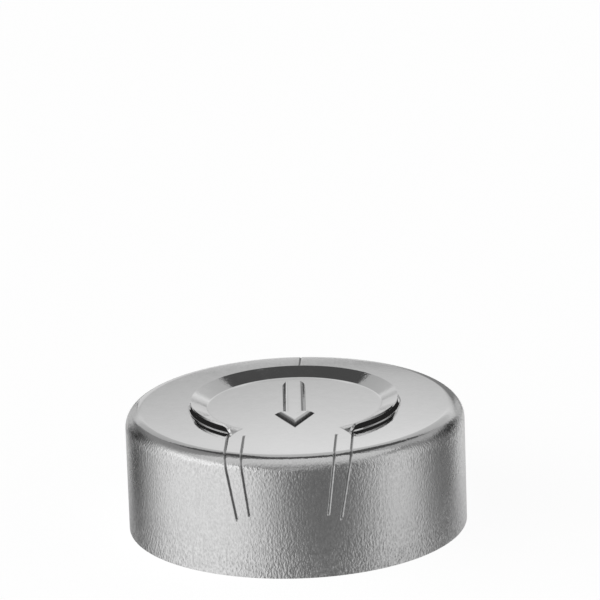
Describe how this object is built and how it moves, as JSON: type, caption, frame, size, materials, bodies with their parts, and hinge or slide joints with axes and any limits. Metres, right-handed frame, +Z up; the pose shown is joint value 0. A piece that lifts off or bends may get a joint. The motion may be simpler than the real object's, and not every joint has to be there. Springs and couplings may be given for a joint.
{
  "type": "bottle cap",
  "caption": "Round aluminium tear-off crimp cap for a stoppered bottle neck, with a dished pull tab in a C-shaped slit, a raised arrow and a scored tear strip.",
  "frame": {"origin": "centre of the open edge, on the surface that the cap stands on", "axes": "+Z up the cap's axis to its closed top, -Y towards the tear strip"},
  "size_m": [0.0326, 0.0326, 0.0126],
  "materials": {
    "aluminium_sheet": "satin, with fine drawing marks down the skirt"
  },
  "bodies": {
    "root": {"tear_off_cap": "aluminium_sheet"}
  },
  "joints": []
}
